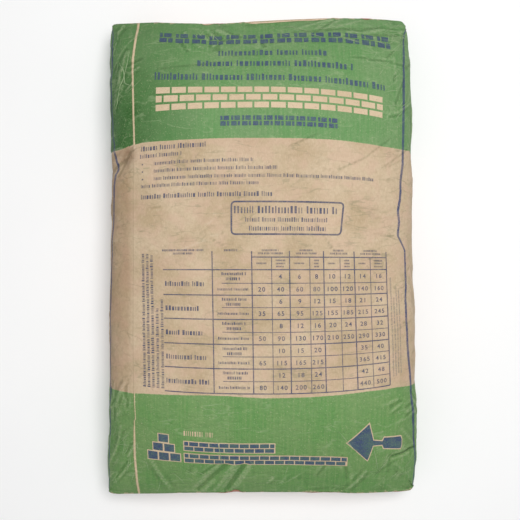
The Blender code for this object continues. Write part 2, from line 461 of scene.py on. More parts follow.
def closed_sack(step=1, inset=0.0):
    """The closed sack's points and faces from every step-th point, drawn in by an inset.

    The tube's points come first. The lattice place (end, i, j) is given for each end face's
    corners, so that they can be told apart.
    """
    start = (FRONT_CELLS // 2) % step
    ring = [(i // step, j // step) for i, j in tube.ring[start::step]]
    shrink = np.array([1, 1 - 2 * inset / LENGTH, 1])
    grid = (tube.points - inset * tube.normals)[start::step, ::step] * shrink
    columns, rows = grid.shape[:2]
    places = [grid.reshape(-1, 3)]
    faces = grid_faces(columns, rows, closed=True)
    end_corners = []
    nx, nz = FRONT_CELLS // step, SIDE_CELLS // step
    ring_index = {place: c for c, place in enumerate(ring)}
    for end in (FILLING, BASE):
        first = sum(len(p) for p in places)
        row = rows - 1 if end == FILLING else 0
        inner = (end_faces[end].points[::step, ::step] * shrink)[1:-1, 1:-1]
        places.append(inner.reshape(-1, 3))
        for i in range(nx):
            for j in range(nz):
                corners = [(i, j), (i, j + 1), (i + 1, j + 1), (i + 1, j)][::end]
                faces.append([
                    ring_index[corner] * rows + row if corner in ring_index
                    else first + (corner[0] - 1) * (nz - 1) + corner[1] - 1
                    for corner in corners
                ])
                end_corners += [(end, *corner) for corner in corners]
    return np.concatenate(places), faces, end_corners


# Objects


def add_to_scene(name, data):
    """A new object of a mesh, curve, camera or light, linked to the scene."""
    obj = bpy.data.objects.new(name, data)
    bpy.context.scene.collection.objects.link(obj)
    return obj


def evaluated_mesh(obj):
    """The mesh of an object after its modifiers."""
    return obj.evaluated_get(bpy.context.evaluated_depsgraph_get()).to_mesh()


# Relief of the paper


def soft_noise(s, t, cell, seed):
    """Smooth random values from -1 to 1 that change over one cell size."""
    values = np.random.default_rng(seed).uniform(-1, 1, (256, 256))
    x, y = s / cell + 100, t / cell + 100
    i, j = np.floor(x).astype(int), np.floor(y).astype(int)
    return blend(values, i, j, smooth(x - i), smooth(y - j))


def facet_relief(s, t, cell, seed):
    """Heights from -1 to 1 of a sheet crumpled into flat facets about one cell size wide."""
    rng = np.random.default_rng(seed)
    margin = 2 * cell
    columns = np.arange(s.min() - margin, s.max() + margin, cell)
    rows = np.arange(t.min() - margin, t.max() + margin, cell)
    grid = np.stack(np.meshgrid(columns, rows), axis=-1).reshape(-1, 2)
    grid += rng.uniform(-0.45, 0.45, grid.shape) * cell
    places, _, triangles, *_ = delaunay_2d_cdt([Vector(p) for p in grid], [], [], 0, 1e-6)
    heights = rng.uniform(-1, 1, len(places))
    sheet = BVHTree.FromPolygons(
        [(p.x, p.y, h) for p, h in zip(places, heights)], [list(t) for t in triangles])
    down = Vector((0, 0, -1))
    found = [sheet.ray_cast(Vector((a, b, 2)), down)[0] for a, b in zip(s.ravel(), t.ravel())]
    return np.array([hit.z if hit else 0 for hit in found]).reshape(s.shape)


def fold(s, t, start, stop, width, depth):
    """A straight fold from start to stop on the paper: a valley, or a ridge below 0."""
    run = np.subtract(stop, start)
    length = np.linalg.norm(run)
    along = ((s - start[0]) * run[0] + (t - start[1]) * run[1]) / length ** 2
    across = np.abs((s - start[0]) * run[1] - (t - start[1]) * run[0]) / length
    fade = np.sqrt(np.clip(4 * along * (1 - along), 0, 1))
    return -depth * fade * np.clip(1 - across / width, 0, 1) ** 1.5


def strewn(spots, rng):
    """Marks strewn about spots: the place, heading and length of each, and what else a spot has."""
    for middle, reach, count, length, turn, *rest in spots:
        for _ in range(count):
            place = np.array(middle) + rng.uniform(-1, 1, 2) * reach
            heading = math.radians(turn + rng.normal(0, 22))
            yield place, heading, length * rng.uniform(0.4, 1.3), rest


def paper_relief(tube):
    """Height of the paper over the smooth form, all round the tube."""
    s, t = np.broadcast_arrays(tube.s, tube.t[None, :])
    off_front = smooth((np.abs(s) - 0.15) / 0.09)
    to_end = tube.t[-1] - np.abs(t)
    near_end = smooth(1 - to_end / 0.09)
    off_floor = smooth(tube.points[..., 2] / 0.03)

    height = 0.0011 * soft_noise(s, t, 0.11, 1)
    height = height + (0.0004 + 0.0011 * off_front) * facet_relief(s, t, 0.046, 2)
    fine = 0.00025 + 0.0005 * off_front + 0.0004 * near_end
    height = height + fine * facet_relief(s, t, 0.019, 3)
    height = height * smooth(to_end / 0.012 + 0.25)
    rng = np.random.default_rng(5)
    for place, heading, length, (depth,) in strewn(WRINKLES, rng):
        stop = place + length * np.array([math.cos(heading), math.sin(heading)])
        depth = depth * rng.choice((-0.8, 1))
        height = height + fold(s, t, place, stop, rng.uniform(0.004, 0.009), depth)
    for start, stop, width, depth in FOLDS:
        height = height + fold(s, t, start, stop, width, depth)
    return height * off_floor


def find_valleys(height):
    """How sharply the paper bends at each point, in 1/m: above 0 in valleys, below on ridges."""
    round_it = np.roll(height, 1, axis=0) + np.roll(height, -1, axis=0) - 2 * height
    along = np.zeros_like(height)
    along[:, 1:-1] = height[:, :-2] + height[:, 2:] - 2 * height[:, 1:-1]
    return (round_it + along) / CELL_SIZE ** 2


def even_out(grid, passes):
    """A grid of vectors smoothed round the tube and along it, held at its ends."""
    for _ in range(passes):
        grid = (np.roll(grid, 1, axis=0) + 2 * grid + np.roll(grid, -1, axis=0)) / 4
        grid[:, 1:-1] = (grid[:, :-2] + 2 * grid[:, 1:-1] + grid[:, 2:]) / 4
    return grid


def slack_paper(s, to_end):
    """Where the filled form leaves paper over, from 0 to 1: at the sides and by the ends."""
    sides = smooth((np.abs(s) - 0.17) / 0.07)
    by_end = smooth(1 - to_end / 0.10) * smooth((np.abs(s) - 0.05) / 0.12)
    return np.clip(0.12 + 0.75 * sides + 0.5 * by_end, 0, 1)


def settle():
    """Crumples the slack paper as cloth held by its fill, and moves the tube to match."""
    step = SETTLE_STEP
    places, faces, _ = closed_sack(step)
    start = (FRONT_CELLS // 2) % step
    s, t = np.broadcast_arrays(tube.s[start::step, ::step], tube.t[::step])
    to_end = tube.t[-1] - np.abs(t)
    shake = np.random.default_rng(3).normal(0, SETTLE_SHAKE, places.shape)
    shake[s.size:] = 0
    places = places + shake

    mesh = bpy.data.meshes.new("settling")
    mesh.from_pydata(places.tolist(), [], faces)
    sheet = add_to_scene("settling", mesh)
    hold, slack = (sheet.vertex_groups.new(name=name) for name in ("hold", "slack"))
    held = np.where(to_end < 0.004, 1, 0.30 - 0.25 * smooth((np.abs(s) - 0.12) / 0.10))
    for k, (grip, loose) in enumerate(zip(held.ravel(), slack_paper(s, to_end).ravel())):
        hold.add([k], float(grip), "REPLACE")
        slack.add([k], float(loose), "REPLACE")
    hold.add(list(range(s.size, len(places))), 1.0, "REPLACE")

    cloth = sheet.modifiers.new("cloth", "CLOTH")
    cloth.point_cache.frame_start = 1
    cloth.point_cache.frame_end = SETTLE_FRAMES
    cloth.collision_settings.use_collision = False
    cloth.settings.effector_weights.gravity = 0
    for name, value in CLOTH.items():
        setattr(cloth.settings, name, value)
    for step_frame in range(1, SETTLE_FRAMES + 1):
        bpy.context.scene.frame_set(step_frame)

    settled = np.empty(places.size)
    evaluated_mesh(sheet).vertices.foreach_get("co", settled)
    bpy.data.objects.remove(sheet)
    bpy.context.scene.frame_set(1)

    moved = (settled.reshape(-1, 3) - places)[:s.size].reshape(*s.shape, 3)
    moved = SETTLE_SHARE * (moved - even_out(moved, EVENING_PASSES))
    size = np.linalg.norm(moved, axis=-1, keepdims=True)
    moved = moved * np.minimum(1, SETTLE_CAP / np.maximum(size, 1e-9))
    columns = (np.arange(len(tube.ring)) - start) / step
    rows = np.arange(LENGTH_CELLS + 1) / step
    left, low = np.floor(columns).astype(int), np.minimum(rows.astype(int), moved.shape[1] - 2)
    over, up = (columns - left)[:, None, None], (rows - low)[None, :, None]
    closed = np.concatenate([moved, moved[:1]])
    full = blend(closed, (left % len(moved))[:, None], low, over, up)
    tube.move(even_out(full, 1))


tube = Tube()
end_faces = {end: EndFace(tube, end) for end in (FILLING, BASE)}
taut_points, taut_normals = tube.points, tube.normals
settle()
tube.move(tube.normals * paper_relief(tube)[..., None])
end_faces = {end: EndFace(tube, end) for end in (FILLING, BASE)}
valleys = find_valleys(((tube.points - taut_points) * taut_normals).sum(axis=-1))


# Print places


def row_bend(p, q):
    """How far the print's rows lie off level at print places."""
    reach = np.minimum(np.abs(p), np.interp(q, (-0.1, 0.1), (0.19, 0.24))) / BEND_REACH
    sides = np.where(p < 0, np.interp(q, BEND_Q, BEND_LEFT), np.interp(q, BEND_Q, BEND_RIGHT))
    return sides * reach ** 2


def on_paper(p, q):
    """The place on the paper (s, t) of print places, which lean to the right below the middle."""
    lean = SLANT + RIGHT_SLANT * smooth((p - 0.05) / 0.08)
    return p + lean * np.clip((0.005 - q) / 0.19, 0, 1), q + row_bend(p, q)


# Meshes


def add_object(name, places, faces, material, uvs=None):
    """Adds a mesh as a piece of the object."""
    mesh = bpy.data.meshes.new(name)
    mesh.from_pydata(np.asarray(places).tolist(), [], faces)
    if uvs is not None:
        layer = mesh.uv_layers.new(name="paper")
        layer.data.foreach_set("uv", np.array(uvs, "f").ravel())
    mesh.materials.append(material)
    mesh.shade_smooth()
    mesh.update()
    piece = add_to_scene(name, mesh)
    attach(piece, "root")
    return piece


def set_attribute(mesh, name, values):
    mesh.attributes.new(name, "FLOAT", "POINT").data.foreach_set("value", values.astype("f"))


def build_sack():
    """The whole paper sack as one closed mesh, with paper coordinates and print distances."""
    places, faces, end_corners = closed_sack()
    columns, rows = tube.points.shape[:2]
    s_next = np.concatenate([tube.s[1:], tube.s[:1] + tube.girth])
    uvs = []
    for c in range(columns):
        for r in range(rows - 1):
            low, high = tube.t[r], tube.t[r + 1]
            uvs += [
                (tube.s[c, r], low), (s_next[c, r], low),
                (s_next[c, r + 1], high), (tube.s[c, r + 1], high),
            ]
    for end, i, j in end_corners:
        x, _, z = end_faces[end].points[i, j]
        uvs.append((x, end * (tube.t[-1] + BLOCK_HEIGHT - z)))

    sack = add_object("printed_sack", places, faces, printed_paper(), uvs)
    s, t = np.broadcast_arrays(tube.s, tube.t[None, :])
    level = t - row_bend(s, t)
    top, base = (np.interp(s, *edge) for edge in (TOP_BAND_EDGE, BASE_BAND_EDGE))
    distances = {
        "band": (np.maximum(level - top, base - level), 0.05),
        "to_end": (tube.t[-1] - np.abs(t), 0),
        "valley": (valleys, 0),
    }
    for name, (line, width) in LINES.items():
        distances[name] = s - np.interp(t, *line), 1
        distances[name + "_width"] = np.interp(t, *width), 0
    for name, (grid, elsewhere) in distances.items():
        values = np.full(len(places), float(elsewhere))
        values[:grid.size] = grid.ravel()
        set_attribute(sack.data, name, values)
    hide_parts("paper_sack")


# Materials

# Half the width over which a printed edge fades
PRINT_EDGE = 0.0003


def srgb(red, green, blue):
    """A colour given as it looks on a screen, from 0 to 255."""
    shown = np.array([red, green, blue]) / 255
    linear = np.where(shown <= 0.04045, shown / 12.92, ((shown + 0.055) / 1.055) ** 2.4)
    return (*linear, 1)


class Shade:
    """A material whose nodes are made by short calls that return sockets."""

    def __init__(self, name, roughness):
        self.material = bpy.data.materials.new(name)
        self.material.use_nodes = True
        self.tree = self.material.node_tree
        self.shader = self.tree.nodes["Principled BSDF"]
        self.shader.inputs["Roughness"].default_value = roughness
        self.shader.inputs["Specular IOR Level"].default_value = 0.35
        coordinates = self.tree.nodes.new("ShaderNodeTexCoord")
        self.place = coordinates.outputs["Object"]
        self.paper = coordinates.outputs["UV"]

    def node(self, kind, inputs, output=0, **settings):
        node = self.tree.nodes.new("ShaderNode" + kind)
        for name, value in settings.items():
            setattr(node, name, value)
        for slot, value in inputs.items():
            if isinstance(value, bpy.types.NodeSocket):
                self.tree.links.new(value, node.inputs[slot])
            else:
                node.inputs[slot].default_value = value
        return node.outputs[output]

    def math(self, operation, a, b=0.0):
        return self.node("Math", {0: a, 1: b}, operation=operation)

    def attribute(self, name):
        return self.node("Attribute", {}, output="Fac", attribute_name=name)

    def along_paper(self, axis):
        """The paper coordinate s ("X") or t ("Y")."""
        return self.node("SeparateXYZ", {0: self.paper}, output=axis)

    def near(self, s, t, radius):
        """1 at a place on the paper, 0 from a radius on."""
        away = self.node(
            "VectorMath", {0: self.paper, 1: (s, t, 0)}, output="Value", operation="DISTANCE")
        return self.between(away, 0.3 * radius, radius, 1, 0)

    def noise(self, scale, detail, stretch=(1, 1, 1), on_paper=False, turn=0.0):
        """Noise with its values near 0.5, on the object or in paper coordinates."""
        place = self.paper if on_paper else self.place
        mapped = self.node(
            "Mapping", {"Vector": place, "Scale": stretch, "Rotation": (0, 0, turn)})
        return self.node("TexNoise", {"Vector": mapped, "Scale": scale, "Detail": detail})

    def between(self, value, low, high, to_low=0.0, to_high=1.0):
        return self.node("MapRange", {0: value, 1: low, 2: high, 3: to_low, 4: to_high})

    def mix(self, share, a, b, blend="MIX"):
        return self.node(
            "Mix", {0: share, 6: a, 7: b}, output=2, data_type="RGBA", blend_type=blend)

    def product(self, first, *others):
        for other in others:
            first = self.math("MULTIPLY", first, other)
        return first

    def above_zero(self, value):
        """0 below 0 and 1 above it, fading like a printed edge."""
        return self.between(value, -PRINT_EDGE, PRINT_EDGE)

    def off_middle(self, noise):
        """How far a noise lies off its middle value."""
        return self.math("ABSOLUTE", self.math("SUBTRACT", noise, 0.5))

    def clouds(self, scale, a, b, detail=3, low=0.36, high=0.64):
        """Two colours in soft clouds."""
        return self.mix(self.between(self.noise(scale, detail), low, high), a, b)

    def spots(self, colour, spot, scale, detail, low, high, share, least=0, **noise):
        """A colour under spots of another, whose share rises while a noise goes from low to high."""
        found = self.between(self.noise(scale, detail, **noise), low, high, least, share)
        return self.mix(found, colour, spot)

    def wrinkles(self, scale, width, stretch, turn, share):
        """Fine broken lines where a noise crosses its middle value."""
        line = self.off_middle(self.noise(scale, 4, stretch, turn=turn))
        broken = self.between(self.noise(1.8 * scale, 2), 0.45, 0.6)
        return self.product(self.between(line, 0.2 * width, width, share, 0), broken)

    def colour(self, socket):
        self.tree.links.new(socket, self.shader.inputs["Base Color"])

    def bump(self, layers):
        """Bump from heights in metres: pairs of a socket and the depth of its full range."""
        normal = None
        for socket, depth in layers:
            inputs = {"Height": socket, "Distance": depth, "Strength": 1.0}
            if normal:
                inputs["Normal"] = normal
            normal = self.node("Bump", inputs)
        self.tree.links.new(normal, self.shader.inputs["Normal"])


def kraft_colour(shade):
    """Bare kraft paper: clouds, dark and pink mottles, fibres, greyish wrinkle marks, a darker brown
    patch.
    """
    colour = shade.clouds(14, srgb(200, 179, 150), srgb(182, 160, 128), low=0.38, high=0.62)
    colour = shade.spots(colour, srgb(156, 134, 106), 240, 3, 0.35, 0.68, 0.28)
    colour = shade.spots(colour, srgb(200, 169, 146), 50, 3, 0.45, 0.62, 0.45)
    colour = shade.spots(
        colour, srgb(220, 200, 172), 900, 2, 0.5, 0.75, 0.25, stretch=(1, 0.25, 1), turn=0.5)
    for scale, stretch, turn, share in (
        (15, (0.4, 1.8, 1), 0.28, 0.34),
        (19, (0.4, 1.6, 1), -0.25, 0.28),
        (52, (1.4, 0.6, 1), -0.4, 0.2),
    ):
        marks = shade.wrinkles(scale, 0.010, stretch, turn, share)
        colour = shade.mix(marks, colour, srgb(116, 118, 90))
    # A darker brown patch over the crumpled folds at the upper left of the front
    brown_patch = shade.product(shade.near(-0.193, 0.137, 0.020), shade.noise(150, 4))
    return shade.mix(brown_patch, colour, srgb(126, 98, 74))


def on_back(shade, start=0.38):
    """0 on the front, rising from s at start on either side to 1 on the sack's back."""
    return shade.between(shade.math("ABSOLUTE", shade.along_paper("X")), start, 0.42)


def green_colour(shade):
    """Green ink on kraft: darker by the seam and on the left side, partly thicker ink and partly
    painted shade; thinner elsewhere, with streaks and flecks.
    """
    colour = shade.clouds(20, srgb(97, 144, 84), srgb(113, 147, 97))
    colour = shade.spots(
        colour, srgb(132, 158, 110), 330, 3, 0.42, 0.66, 0.45, stretch=(1, 0.05, 1), on_paper=True)
    # Partly thicker ink and partly painted shade: the green darkened by the seam and on the left
    # side, strongest in the upper band and faded out round to the back
    thick_ink_and_painted_shade = shade.product(
        shade.between(shade.along_paper("X"), -0.185, -0.065, 1, 0),
        shade.between(shade.along_paper("Y"), 0.02, 0.12, 0.08, 1),
        shade.between(shade.along_paper("Y"), 0.21, 0.29, 1, 0.5),
        shade.between(shade.noise(30, 3), 0.35, 0.6, 1, 0.82))
    thick_ink_and_painted_shade = shade.math("SUBTRACT", thick_ink_and_painted_shade, on_back(shade, 0.27))
    colour = shade.mix(thick_ink_and_painted_shade, colour, srgb(46, 92, 36))
    base_end = shade.between(shade.along_paper("Y"), -0.20, -0.15, 1, 0)
    colour = shade.mix(base_end, colour, (0.98, 0.98, 0.82, 1), "MULTIPLY")
    colour = shade.spots(colour, srgb(88, 130, 76), 320, 3, 0.35, 0.65, 0.42)
    rubbed = shade.wrinkles(24, 0.02, (0.5, 1.6, 1), 0.9, 0.30)
    colour = shade.mix(rubbed, colour, srgb(158, 176, 134))
    return shade.spots(colour, srgb(182, 184, 146), 620, 2, 0.62, 0.72, 0.5)


def ink_on(shade, paper, ink, wear):
    """A thin ink over a paper colour, rubbed off in specks."""
    colour = shade.spots(ink, paper, 70, 2, 0.35, 0.65, 0.26, least=0.04)
    return shade.spots(colour, paper, 700, 3, 0.5, 0.72, wear)


def finished_paper(shade, colour):
    """The material with its colour and the fine relief that all the papers have."""
    ridge = shade.off_middle(shade.noise(58, 5, (0.7, 1.3, 1), turn=0.3))
    shade.colour(colour)
    shade.bump([(shade.between(ridge, 0, 0.1), 0.0004), (shade.noise(480, 3), 0.00014)])
    return shade.material


NAVY = srgb(58, 70, 108)
RED = srgb(158, 62, 52)


def off_line(shade, name, ragged):
    """0 on one of the lines along the paper, 1 beside it and on the back."""
    away = shade.math("ADD", shade.math("ABSOLUTE", shade.attribute(name)), ragged)
    half = shade.product(shade.attribute(name + "_width"), 0.5)
    beside = shade.above_zero(shade.math("SUBTRACT", away, half))
    return shade.math("MAXIMUM", beside, on_back(shade))


def printed_paper():
    """The sack's paper: kraft with green bands, an unprinted seam and navy border lines, with
    painted shade on the left side, along the seam's edge and in fold valleys.
    """
    shade = Shade("printed_paper", 0.72)
    kraft, green = kraft_colour(shade), green_colour(shade)
    # Painted shade: the kraft left of the seam darkened, weaker towards the base end and faded out
    # round to the back
    side = shade.product(
        shade.between(shade.attribute("seam"), -0.012, -0.001, 1, 0),
        shade.between(shade.along_paper("X"), -0.36, -0.25, 0, 0.9),
        shade.between(shade.along_paper("Y"), -0.20, -0.08, 0.4, 1))
    kraft = shade.mix(side, kraft, (0.80, 0.74, 0.69, 1), "MULTIPLY")
    ragged = shade.between(shade.noise(500, 2), 0.3, 0.7, -PRINT_EDGE, PRINT_EDGE)
    in_band = shade.above_zero(shade.math("ADD", shade.attribute("band"), ragged))
    bare = shade.mix(shade.product(in_band, 0.4), kraft, srgb(226, 206, 168))
    inked = shade.product(in_band, off_line(shade, "seam", ragged))
    colour = shade.mix(inked, bare, green)
    # Painted shadow: a thin dark line along the edge of the seam's overlapping paper, left out on
    # the back
    painted_edge_shadow = shade.between(
        shade.math("ABSOLUTE", shade.math("ADD", shade.attribute("seam"), 0.0018)),
        0.0002, 0.0009, 0.3, 0)
    painted_edge_shadow = shade.math("SUBTRACT", painted_edge_shadow, on_back(shade))
    colour = shade.mix(painted_edge_shadow, colour, srgb(120, 100, 76))

    navy = ink_on(shade, colour, NAVY, 0.4)
    for name in ("left_line", "right_line"):
        colour = shade.mix(off_line(shade, name, ragged), navy, colour)

    valley = shade.attribute("valley")
    # Painted shade: the paper darkened in fold valleys, by how sharply it bends there
    pressed = shade.between(valley, 4, 45, 0, 0.5)
    colour = shade.mix(pressed, colour, (0.50, 0.55, 0.48, 1), "MULTIPLY")
    # Paler on fold ridges: partly ink rubbed off, partly painted highlight
    rubbed = shade.product(
        shade.between(valley, -8, -60, 0, 0.6),
        shade.between(shade.noise(300, 3), 0.35, 0.6, 0.2, 1))
    colour = shade.mix(rubbed, colour, (0.22, 0.20, 0.15, 1), "SCREEN")

    closeness = shade.between(shade.attribute("to_end"), 0, 0.007, 0.62, 0.30)
    worn = shade.between(
        shade.math("SUBTRACT", closeness, shade.noise(130, 5)), 0.06, 0.14, 0, 0.8)
    return finished_paper(shade, shade.mix(worn, colour, srgb(188, 172, 140)))


def print_material(name, ink, paper_colour, wear):
    """Ink of the print that lies on bare or on green paper; also the pale scuffs and the crease's
    painted shade.
    """
    shade = Shade(name, 0.68)
    return finished_paper(shade, ink_on(shade, paper_colour(shade), ink, wear))


def unprinted_kraft():
    """Places in the green that were left unprinted."""
    shade = Shade("unprinted_kraft", 0.75)
    clean = shade.mix(0.35, kraft_colour(shade), srgb(226, 204, 172))
    return finished_paper(shade, shade.spots(clean, green_colour(shade), 520, 3, 0.6, 0.7, 0.4))


def patch_paper():
    """The cover patches' kraft, with a red border along its long edges."""
    shade = Shade("patch_paper", 0.78)
    colour = shade.clouds(40, srgb(218, 196, 170), srgb(202, 178, 150))
    colour = shade.spots(colour, srgb(172, 146, 120), 260, 3, 0.35, 0.65, 0.35)
    red = ink_on(shade, colour, RED, 0.6)
    border = shade.above_zero(shade.attribute("border"))
    return finished_paper(shade, shade.mix(border, colour, red))


def sleeve_paper():
    """The valve sleeve's paper, greyed by cement dust inside."""
    shade = Shade("sleeve_paper", 0.8)
    colour = shade.clouds(160, srgb(206, 184, 152), srgb(188, 164, 132))
    return finished_paper(
        shade, shade.spots(colour, srgb(160, 158, 150), 420, 3, 0.4, 0.62, 0.7, least=0.1))


def cement_powder():
    """Grey cement powder, pressed against the paper."""
    shade = Shade("cement_powder", 0.95)
    colour = shade.clouds(60, srgb(158, 158, 154), srgb(140, 140, 137), detail=4)
    shade.colour(shade.spots(colour, srgb(116, 116, 113), 1400, 2, 0.4, 0.65, 0.5))
    shade.bump([(shade.noise(90, 4), 0.0008), (shade.noise(1400, 2), 0.0002)])
    return shade.material


# Print


def read_figures():
    """Shapes of the plain figures 0 to 9: places and faces of each."""
    figures = {}
    for name in "0123456789":
        curve = bpy.data.curves.new(name, "FONT")
        curve.body = name
        curve.resolution_u = 3
        curve.offset = 0.015
        figure = add_to_scene(name, curve)
        mesh = evaluated_mesh(figure)
        places = np.array([v.co[:2] for v in mesh.vertices])
        figures[name] = places, [list(polygon.vertices) for polygon in mesh.polygons]
        bpy.data.objects.remove(figure)
    return figures


FIGURES = read_figures()
FIGURE_HEIGHT = FIGURES["0"][0][:, 1].max()
FIGURE_ADVANCE = 0.62
PRINT_CELL = 0.003


def count_points(length):
    """How many points a print shape has along a length."""
    return max(2, math.ceil(length / PRINT_CELL) + 1)


class Print:
    """Shapes of one ink, laid on the paper in print places, or in (s, t) if not bent."""

    def __init__(self, lift, bent=True):
        self.places, self.faces = [], []
        self.lift, self.bent = lift, bent

    def add(self, places, faces):
        first = len(self.places)
        self.places += [tuple(place) for place in places]
        self.faces += [[first + k for k in face] for face in faces]

    def add_grid(self, p, q):
        """Adds cells between places given as columns by rows."""
        self.add(zip(p.ravel(), q.ravel()), grid_faces(*p.shape))

    def bar(self, p0, p1, q0, q1):
        """A rectangle between two values of p and of q."""
        p, q = (np.linspace(a, b, count_points(b - a)) for a, b in ((p0, p1), (q0, q1)))
        self.add_grid(*np.meshgrid(p, q, indexing="ij"))

    def stroke(self, path, width):
        """A line along a path of places, whose width may be one value for each place."""
        path = np.array(path, float)
        steps = np.linalg.norm(np.diff(path, axis=0), axis=1)
        arc = np.concatenate([[0], np.cumsum(steps)])
        along = np.linspace(0, arc[-1], count_points(arc[-1]))
        p, q = (np.interp(along, arc, path[:, k]) for k in (0, 1))
        half = np.interp(along, arc, np.broadcast_to(width, len(path))) / 2
        run = unit(np.stack([np.gradient(p), np.gradient(q)], axis=-1))
        sides = np.array([[-1, 1]])
        self.add_grid(
            p[:, None] - (run[:, 1] * half)[:, None] * sides,
            q[:, None] + (run[:, 0] * half)[:, None] * sides)

    def outline(self, shape):
        """A closed outline of places, filled with cells."""
        corners = np.array(shape, float)
        shape = []
        for a, b in zip(corners, np.roll(corners, -1, axis=0)):
            count = math.ceil(np.linalg.norm(b - a) / PRINT_CELL)
            shape += [a + (b - a) * k / count for k in range(count)]
        shape = np.array(shape)
        low, high = shape.min(0), shape.max(0)
        inner = [
            Vector((a, b))
            for a in np.arange(low[0], high[0], PRINT_CELL)[1:]
            for b in np.arange(low[1], high[1], PRINT_CELL)[1:]
        ]
        edges = [(k, (k + 1) % len(shape)) for k in range(len(shape))]
        found, _, triangles, *_ = delaunay_2d_cdt(
            [Vector(p) for p in shape] + inner, edges, [], 1, 1e-7)
        self.add(found, triangles)

    def wall(self, p0, p1, q0, q1, courses, brick, joint):
        """A piece of wall in running bond, cut off straight at its ends."""
        course = (q1 - q0 + joint) / courses - joint
        for k in range(courses):
            p, q = p0 - k % 2 * (brick + joint) / 2, q0 + k * (course + joint)
            while p < p1:
                left, right = max(p, p0), min(p + brick, p1)
                if right - left > joint / 2:
                    self.bar(left, right, q, q + course)
                p += brick + joint

    def words(self, p0, p1, q, height, seed, turned=False, low=0.0, weight=1.0):
        """A row of words, each a run of small plain bars, most of them cut down by a share low.

        A turned row runs along q.
        """
        rng = np.random.default_rng(seed)
        p, left = p0, 0
        while True:
            start = not left
            left = left or rng.integers(6, 16)
            width = height * weight * rng.choice((0.16, 0.2, 0.32, 0.44))
            if p + width > p1:
                return
            top = 0.5 if start or rng.random() < 0.2 else 0.5 - low
            if turned:
                self.bar(q - height * top, q + height / 2, p, p + width)
            else:
                self.bar(p, p + width, q - height / 2, q + height * top)
            left -= 1
            p += width + height * (0.24 if left else 0.62)

    def walls(self, p0, p1, q, height, count):
        """A row of small pieces of wall, two courses high."""
        pitch, half = (p1 - p0) / count, height / 2
        for k in range(count):
            p = p0 + k * pitch
            self.wall(p, p + 0.82 * pitch, q - half, q + half, 2, 0.55 * height, 0.11 * height)

    def number(self, value, p, q, height):
        """A plain number, centred on a place."""
        scale = height / FIGURE_HEIGHT
        start = p - scale * FIGURE_ADVANCE * len(str(value)) / 2
        for k, figure in enumerate(str(value)):
            places, faces = FIGURES[figure]
            corner = (start + k * scale * FIGURE_ADVANCE, q - height / 2)
            self.add(places * scale + corner, faces)

    def build(self, name, material):
        s, t = np.array(self.places).T
        if self.bent:
            s, t = on_paper(s, t)
        points, normals = tube.locate(s, t)
        uvs = [(s[k], t[k]) for face in self.faces for k in face]
        points = points + normals * self.lift
        piece = add_object(name, points, self.faces, material, uvs)
        piece.data.normals_split_custom_set_from_vertices(normals.tolist())


# How far the shapes of each ink lie above the paper
GREEN_LIFT, KRAFT_LIFT, BARE_LIFT, SCUFF_LIFT = 0.0005, 0.0003, 0.0002, 0.0006

# Share by which most bars of a word are cut down, and the weight of rows that aren't bold
CUT_DOWN = 0.2
PLAIN_WEIGHT = 0.7

# Rows of words: first and last p, the row's middle q and its height
GREEN_ROWS = [
    (-0.061, 0.092, 0.2890, 0.0105),
    (-0.090, 0.128, 0.2690, 0.0105),
    (-0.150, 0.178, 0.2450, 0.0100),
]
# Rows of small pieces of wall: the same, and how many pieces
WALL_ROWS = [(-0.147, 0.190, 0.3185, 0.0200, 14), (-0.057, 0.106, 0.1830, 0.0135, 11)]
KRAFT_ROWS = [
    (-0.1695, -0.0735, 0.1523, 0.0070),
    (-0.1710, -0.1105, 0.1415, 0.0058),
    (-0.1500, -0.0120, 0.1300, 0.0050),
    (-0.1500, 0.0220, 0.1193, 0.0050),
    (-0.1500, 0.1570, 0.1085, 0.0050),
    (-0.1695, -0.0050, 0.0985, 0.0050),
    (-0.1695, 0.0140, 0.0833, 0.0066),
]
BOLD_ROWS = (0, 6)
BULLET_P = -0.1675
FRAME = (-0.0420, 0.1072, 0.0280, 0.0725)
FRAME_LEAN = 0.0044
FRAME_RADIUS = 0.0045
FRAME_LINE = 0.0023
FRAME_ROWS = [
    (-0.0385, 0.1055, 0.0615, 0.0100),
    (-0.0230, 0.0890, 0.0480, 0.0062),
    (-0.0180, 0.0870, 0.0360, 0.0064),
]

# Table: its columns as p, thick and thin, and its lines as q
TABLE_LEFT, TABLE_RIGHT = -0.137, 0.174
THICK_COLUMNS = (-0.0685, -0.0145, 0.037, 0.0835, 0.126, 0.174)
THIN_COLUMNS = (0.0125, 0.0645, 0.106, 0.149)
TABLE_TOP, HEADER_LINE = 0.005, -0.0033
MAIN_LINES = (-0.0205, -0.0553, -0.0885, -0.1228, -0.1560, -0.1901)
SUB_LINES = (-0.0390, -0.0722, -0.1060, -0.1395, -0.1732)
THICK_LINE, THIN_LINE = 0.0015, 0.0009
EMPTY_COLUMNS = (4, 5)
SUB_LINE_LEFT = -0.056
NUMBER_HEIGHT = 0.0062
HEADING_LEFT, HEADING_DROP, HEADING_HEIGHT = -0.1345, 0.002, 0.0068
HEADING_ENDS = (-0.078, -0.082, -0.082, -0.076, -0.072)
# Marks beside each heading: first and last p, q below the row's top line, seed and cut
UPPER_MARKS = ((-0.056, -0.022, 0.0055, 50, CUT_DOWN), (-0.050, -0.030, 0.0125, 60, 0))
UPPER_MARK_HEIGHT = 0.0040
LOWER_MARK, LOWER_MARK_HEIGHT = (-0.062, -0.019), 0.0036
# Marks by the table's top line: the margin in a pair of columns, or first and last p, then q
# above the line and seed
PAIR_MARKS, PAIR_MARK_HEIGHT = ((0.014, 0.0010, 80), (0.009, -0.0032, 81)), 0.0026
LEFT_MARKS = (
    (-0.138, -0.080, 0.0015, 82), (-0.122, -0.095, -0.0030, 83), (-0.052, -0.034, 0.0010, 84))
LEFT_MARK_HEIGHT = 0.0028
